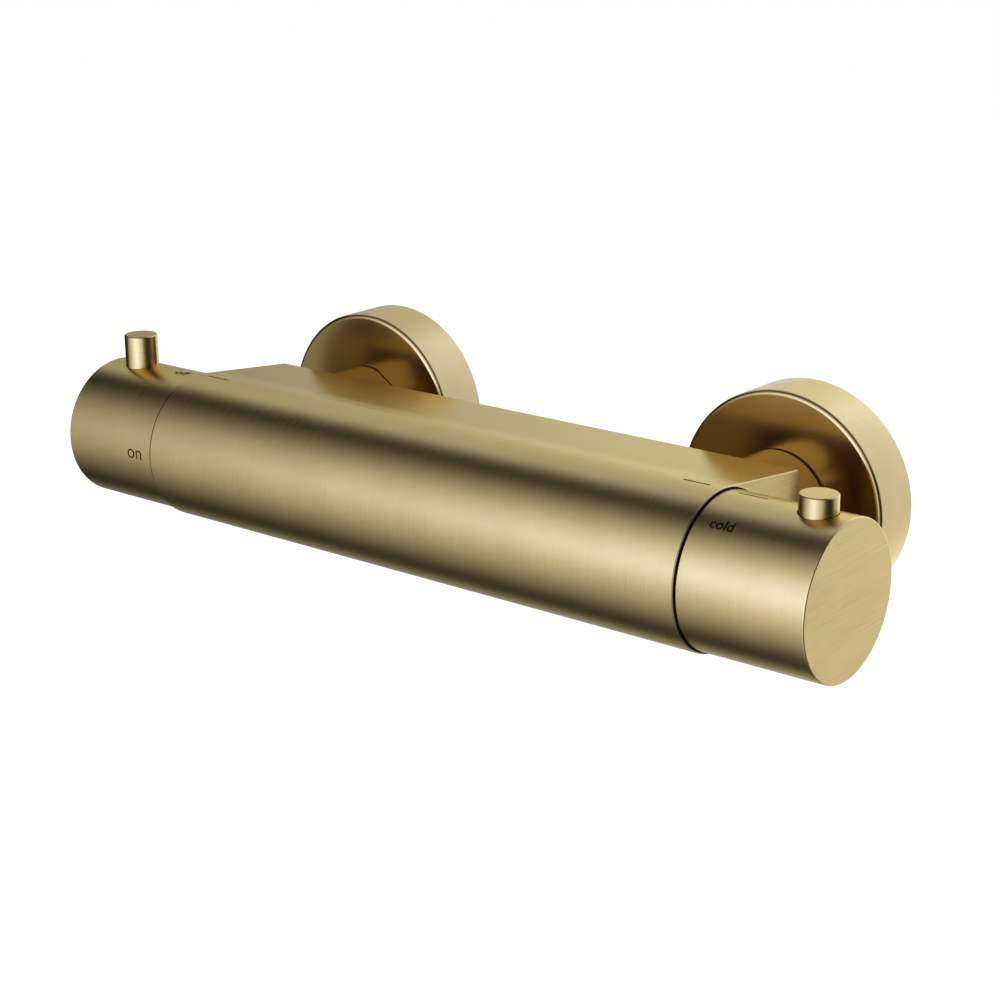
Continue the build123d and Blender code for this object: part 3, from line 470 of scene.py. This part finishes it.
def threaded_tube(name, low, high, thread_low, plain, crest, bore, centre, right, up, forward):
    """A tube along forward from low to high, plain as far as thread_low and threaded from there.
    In the thread the radius is crest - depth * (1 - cos(2 pi (height / pitch - turn / 2 pi))) / 2,
    faded in over the first turn, and cut to a 45 degree cone at the tip. The bore is one inner
    radius, or one for each turn."""
    steps, steps_in_pitch = 96, 10
    bevel = 0.0004
    turn = np.linspace(0, 2 * math.pi, steps, endpoint=False)[:, None]
    count = int((high - thread_low) / thread_pitch * steps_in_pitch)
    height = np.linspace(thread_low, high, count)[None, :]
    fade = np.clip((height - thread_low) / thread_pitch, 0, 1)
    wave = 0.5 - 0.5 * np.cos(2 * math.pi * (height / thread_pitch - turn / (2 * math.pi)))
    thread = np.minimum(crest - thread_depth * wave * fade, crest - thread_depth + high - height)
    inner = np.broadcast_to(np.reshape(bore, (-1, 1)), (steps, 1))
    same = np.ones((steps, 1))
    radius = np.concatenate([
        inner, (plain - bevel) * same, plain * same, plain * same, thread, inner], 1)
    stations = np.concatenate([[low, low, low + bevel, thread_low], height[0], [high]])
    points = (np.array(centre) + (radius * np.cos(turn))[:, :, None] * np.array(right)
              + (radius * np.sin(turn))[:, :, None] * np.array(up)
              + stations[None, :, None] * np.array(forward))
    return grid_mesh(name, points, closed_u=True, closed_v=True)


def joined(name, pieces):
    """Several closed meshes as one piece."""
    shape = bmesh.new()
    for piece in pieces:
        shape.from_mesh(piece.data)
        bpy.data.objects.remove(piece)
    mesh = bpy.data.meshes.new(name)
    shape.to_mesh(mesh)
    shape.free()
    made = bpy.data.objects.new(name, mesh)
    scene.collection.objects.link(made)
    return made


def machined_brass(name, stroke, grain_axis):
    """Bright uncoated brass with fine turning lines, yellower and shinier than the coated gold."""
    material, tree = new_material(name)
    spot = node(tree, "ShaderNodeTexCoord").outputs["Object"]
    lines = node(tree, "ShaderNodeMapping", {
        "vector_type": "TEXTURE", "Vector": spot, "Scale": stroke})
    lines = node(tree, "ShaderNodeTexNoise", {
        "Vector": lines.outputs[0], "Scale": 1.0, "Detail": 3.0})
    worn = node(tree, "ShaderNodeMapRange", {
        "Value": lines.outputs[0], "From Min": noise_low, "From Max": noise_high,
        "To Min": 0.93, "To Max": 1.04})
    paint = node(tree, "ShaderNodeVectorMath", {
        "operation": "SCALE", 0: colour("D2AC5E")[:3], "Scale": worn.outputs[0]})
    relief = node(tree, "ShaderNodeBump", {
        "Strength": 0.2, "Distance": 0.00002, "Height": lines.outputs[0]})
    grain = node(tree, "ShaderNodeTangent", {"direction_type": "RADIAL", "axis": grain_axis})
    shine = node(tree, "ShaderNodeBsdfPrincipled", {
        "Base Color": paint.outputs[0], "Metallic": 1.0, "Roughness": 0.26,
        "Anisotropic": 0.5, "Anisotropic Rotation": 0.25, "Tangent": grain.outputs[0],
        "Normal": relief.outputs[0]})
    node(tree, "ShaderNodeOutputMaterial", {"Surface": shine.outputs[0]})
    return material


turned_along_y = machined_brass(
    "machined brass turned on the inlets", (0.006, 0.0002, 0.006), "Y")
for side, x in (("hot", -inlet_x), ("cold", inlet_x)):
    nut_half = threaded_tube(
        side + "_nut_half", low=0.0075, high=0.0265, thread_low=0.0135, plain=0.0132,
        crest=0.0132, bore=0.0085, centre=(x, 0, bar_z), right=(1, 0, 0), up=(0, 0, 1),
        forward=(0, -1, 0))
    wall_half = threaded_tube(
        side + "_wall_half", low=-0.0115, high=0.014, thread_low=-0.0075, plain=0.0116,
        crest=half_inch_crest, bore=0.0075, centre=(x, 0, 0), right=(0, 0, 1), up=(1, 0, 0),
        forward=(0, 1, 0))
    connector = joined(side + "_eccentric_connector", [nut_half, wall_half])
    outward(connector)
    smooth(connector, 40)
    dress(connector, "mixer", turned_along_y)
    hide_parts(side + "_wall_connector")
finish(turned_along_y, "hot_inlet_nipple", "cold_inlet_nipple")

# Outlet
# A brass nipple with a 1/2 inch thread for the hose, on a flat seal.
# It has a hexagon inside for the key, 11 mm across its flats.
outlet_y = -0.0495
key_half = 0.0055
turn = np.linspace(0, 2 * math.pi, 96, endpoint=False)
key_reach = key_half / np.cos((turn + math.pi / 6) % (math.pi / 3) - math.pi / 6)
outlet = threaded_tube(
    "outlet_thread", low=0.0005, high=0.0195, thread_low=0.0105, plain=0.0089,
    crest=half_inch_crest, bore=key_reach, centre=(0, outlet_y, 0), right=(0, 1, 0),
    up=(1, 0, 0), forward=(0, 0, -1))
outward(outlet)
smooth(outlet, 40)
turned_along_z = machined_brass(
    "machined brass turned on the outlet", (0.006, 0.006, 0.0002), "Z")
dress(outlet, "mixer", turned_along_z)
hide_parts("outlet_nipple")

# Rubber, plastic, ceramic, brass and steel inside
# Moulded nitrile rings and washers, acetal housings, lapped alumina discs, turned brass cartridge
# pieces and drawn steel springs.


def moulded(name, dark, light, grain, rough, bump, gloss):
    """A moulded surface: two near tones in a fine grain of the given size in metres, with a slight
    unevenness, bump metres deep."""
    material, tree = new_material(name)
    spot = node(tree, "ShaderNodeTexCoord").outputs["Object"]
    specks = node(tree, "ShaderNodeTexNoise", {"Vector": spot, "Scale": 1 / grain, "Detail": 3.0})
    shade = node(tree, "ShaderNodeMix", {
        "data_type": "RGBA", 0: specks.outputs[0], 6: colour(dark), 7: colour(light)})
    relief = node(tree, "ShaderNodeBump", {
        "Strength": 0.3, "Distance": bump, "Height": specks.outputs[0]})
    shine = node(tree, "ShaderNodeBsdfPrincipled", {
        "Base Color": shade.outputs[2], "Roughness": rough, "Specular IOR Level": gloss,
        "Specular Tint": (1.0, 0.85, 0.65, 1), "Normal": relief.outputs[0]})
    node(tree, "ShaderNodeOutputMaterial", {"Surface": shine.outputs[0]})
    return material


def drawn_steel(name, stroke, grain_axis):
    """Stainless steel drawn or turned bright, with fine lines round the piece."""
    material, tree = new_material(name)
    spot = node(tree, "ShaderNodeTexCoord").outputs["Object"]
    lines = node(tree, "ShaderNodeMapping", {
        "vector_type": "TEXTURE", "Vector": spot, "Scale": stroke})
    lines = node(tree, "ShaderNodeTexNoise", {
        "Vector": lines.outputs[0], "Scale": 1.0, "Detail": 3.0})
    # A warm grey, because the tent's light is cool
    shade = node(tree, "ShaderNodeMix", {
        "data_type": "RGBA", 0: lines.outputs[0], 6: colour("8E8068"), 7: colour("A69880")})
    grain = node(tree, "ShaderNodeTangent", {"direction_type": "RADIAL", "axis": grain_axis})
    shine = node(tree, "ShaderNodeBsdfPrincipled", {
        "Base Color": shade.outputs[2], "Metallic": 1.0, "Roughness": 0.24,
        "Anisotropic": 0.4, "Anisotropic Rotation": 0.25, "Tangent": grain.outputs[0]})
    node(tree, "ShaderNodeOutputMaterial", {"Surface": shine.outputs[0]})
    return material


# Satin black
finish(moulded("moulded nitrile rubber", "141413", "21201F", grain=0.0003, rough=0.62,
               bump=0.00003, gloss=0.2),
       "headwork_seal", "headwork_o_ring", "thermostat_o_rings", "hot_inlet_washer",
       "cold_inlet_washer", "outlet_seal")
# Open dark foam
finish(moulded("closed-cell foam rubber", "1A1A19", "2E2D2B", grain=0.0007, rough=0.85,
               bump=0.0002, gloss=0.1),
       "hot_flange_seal", "cold_flange_seal")
# Dull black, darker than the other black plastics: the ring is black, and the extra darkness is
# painted shade for the gap it lies in
finish(moulded("moulded black glide ring", "050505", "090908", grain=0.0005, rough=0.6,
               bump=0.00002, gloss=0.05),
       "glide_ring")
# Smooth black with a soft gloss
finish(moulded("moulded black acetal", "101010", "1B1B1B", grain=0.0005, rough=0.36,
               bump=0.00002, gloss=0.4),
       "thermostat_housing", "flow_adaptor", "hot_check_valve", "cold_check_valve",
       "hot_check_poppet", "cold_check_poppet")
# Off-white, a little duller
finish(moulded("moulded white acetal", "D9D7CF", "E6E4DD", grain=0.0006, rough=0.42,
               bump=0.00002, gloss=0.4),
       "temperature_stop_ring", "temperature_adaptor")
# White and very smooth, as lapped
finish(moulded("lapped alumina", "E9E7E1", "F3F1EC", grain=0.0004, rough=0.12,
               bump=0.000004, gloss=0.5),
       "fixed_disc", "moving_disc")
finish(machined_brass("machined brass turned on the bar", (0.0002, 0.006, 0.006), "X"),
       "headwork_body", "headwork_spindle", "thermostat_nut", "thermostat_spindle",
       "overload_carrier", "overload_plunger", "wax_element")
finish(drawn_steel("drawn steel along the bar", (0.0002, 0.004, 0.004), "X"),
       "return_spring", "overload_spring", "regulating_shuttle", "flow_adaptor_screw",
       "temperature_adaptor_screw")
finish(drawn_steel("drawn steel across the bar", (0.004, 0.004, 0.0002), "Z"),
       "button_spring", "flow_grub_screw", "temperature_grub_screw")
finish(drawn_steel("drawn steel on the inlets", (0.004, 0.0002, 0.004), "Y"),
       "hot_check_spring", "cold_check_spring")

# Springs with their own mesh
# Each row has a spring, its joint, the number of the axis it lies along, the place of its fixed end
# on that axis and its joint's travel. Each spring is given its own copy of its mesh.
for spring, joint, axis, fixed_end, travel in (
        ("return_spring", "regulator_slide", 0, 0.032, 0.001),
        ("button_spring", "stop_button_press", 2, 0.0145, 0.0025),
        ("hot_check_spring", "hot_check_slide", 1, -0.0396, 0.003),
        ("cold_check_spring", "cold_check_slide", 1, -0.0396, 0.003)):
    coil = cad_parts[spring]
    along_axis, anchor = [0.0, 0.0, 0.0], [0.0, 0.0, 0.0]
    along_axis[axis], anchor[axis] = 1.0, fixed_end
    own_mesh(coil)

# Marks
# The words and index lines are marked dark by laser, 0.02 mm proud here so that they show.
# The thin index lines are burnt less deep, and stay brown.
mark_height = 0.00002
index_half_width = 0.00025


def laser_mark(name, dark, light):
    """Matt burnt metal: two near tones in a grain of a quarter millimetre."""
    material, tree = new_material(name)
    spot = node(tree, "ShaderNodeTexCoord").outputs["Object"]
    soot = node(tree, "ShaderNodeTexNoise", {"Vector": spot, "Scale": 4000.0, "Detail": 2.0})
    shade = node(tree, "ShaderNodeMix", {
        "data_type": "RGBA", 0: soot.outputs[0], 6: colour(dark), 7: colour(light)})
    shine = node(tree, "ShaderNodeBsdfPrincipled", {
        "Base Color": shade.outputs[2], "Roughness": 0.55, "Specular IOR Level": 0.0})
    node(tree, "ShaderNodeOutputMaterial", {"Surface": shine.outputs[0]})
    return material


laser_black = laser_mark("black laser mark on gold brass", "120C06", "20170B")
laser_brown = laser_mark("brown laser mark on gold brass", "4A2E0E", "5E3F15")


def wrap(mesh, radius, degrees):
    """Lays a flat mesh round the bar: x stays, up becomes y / radius back from the angle in degrees
    from the top towards the front, and z is the height over the radius."""
    flat = np.empty(len(mesh.vertices) * 3, dtype=np.float32)
    mesh.vertices.foreach_get("co", flat)
    flat = flat.reshape(-1, 3).astype(float)
    angle = math.radians(degrees) - flat[:, 1] / radius
    reach = radius + flat[:, 2]
    round_bar = np.stack([
        flat[:, 0], bar_y - reach * np.sin(angle), bar_z + reach * np.cos(angle)], 1)
    mesh.vertices.foreach_set("co", round_bar.astype(np.float32).ravel())
    mesh.update()


def word(name, text, low, high, radius, degrees, body, weight):
    """A word between two stations on X, its small letters centred on the angle, and its strokes
    fattened by the weight."""
    letters = bpy.data.curves.new(name, "FONT")
    letters.body = text
    letters.extrude = 0.01
    letters.offset = weight
    shape = bpy.data.objects.new(name, letters)
    mesh = bpy.data.meshes.new_from_object(shape)
    bpy.data.objects.remove(shape)
    cut = bmesh.new()
    cut.from_mesh(mesh)
    bmesh.ops.remove_doubles(cut, verts=cut.verts, dist=1e-6)
    # Cuts across the letters from below to above, so that they follow the round
    letter_low, letter_high, cut_step = -0.3, 1.0, 0.06
    for level in np.arange(letter_low, letter_high, cut_step):
        bmesh.ops.bisect_plane(cut, geom=cut.verts[:] + cut.edges[:] + cut.faces[:], dist=1e-7,
                               plane_co=(0, level, 0), plane_no=(0, 1, 0))
    cut.to_mesh(mesh)
    cut.free()
    flat = np.empty(len(mesh.vertices) * 3, dtype=np.float32)
    mesh.vertices.foreach_get("co", flat)
    flat = flat.reshape(-1, 3)
    scale = (high - low) / (flat[:, 0].max() - flat[:, 0].min())
    small_letter = 0.53
    flat[:, 0] = low + (flat[:, 0] - flat[:, 0].min()) * scale
    flat[:, 1] = (flat[:, 1] - small_letter / 2) * scale
    flat[:, 2] = np.where(flat[:, 2] > 0, mark_height, -mark_height)
    mesh.vertices.foreach_set("co", flat.ravel())
    wrap(mesh, radius, degrees)
    piece = bpy.data.objects.new(name, mesh)
    scene.collection.objects.link(piece)
    dress(piece, body, laser_black)


def index_line(name, low, high, radius, degrees, body):
    """A closed bar of the line's thickness between two stations on X."""
    y, z = index_half_width, mark_height
    ring = [(-y, -z), (y, -z), (y, z), (-y, z)]
    points = np.array([
        [(low, 0, 0)] * 4, [(low, *corner) for corner in ring],
        [(high, *corner) for corner in ring], [(high, 0, 0)] * 4])
    piece = grid_mesh(name, points, closed_v=True)
    shape = bmesh.new()
    shape.from_mesh(piece.data)
    bmesh.ops.remove_doubles(shape, verts=shape.verts, dist=1e-9)
    bmesh.ops.recalc_face_normals(shape, faces=shape.faces)
    shape.to_mesh(piece.data)
    shape.free()
    wrap(piece.data, radius, degrees)
    dress(piece, body, laser_brown)


word("mark_off", "off", -0.1017, -0.0968, handle_radius, 2.0, "flow", 0.012)
word("mark_on", "on", -0.1029, -0.0971, handle_radius, 89.0, "flow", -0.006)
word("mark_cold", "cold", 0.0972, 0.1039, handle_radius, 37.0, "temperature", 0.020)
index_line("mark_body_left", -0.0887, -0.0805, body_radius, 0.3, "mixer")
index_line("mark_body_right", 0.0807, 0.0886, body_radius, -0.7, "mixer")
index_line("mark_temperature", 0.0965, 0.1048, handle_radius, -3.0, "temperature")
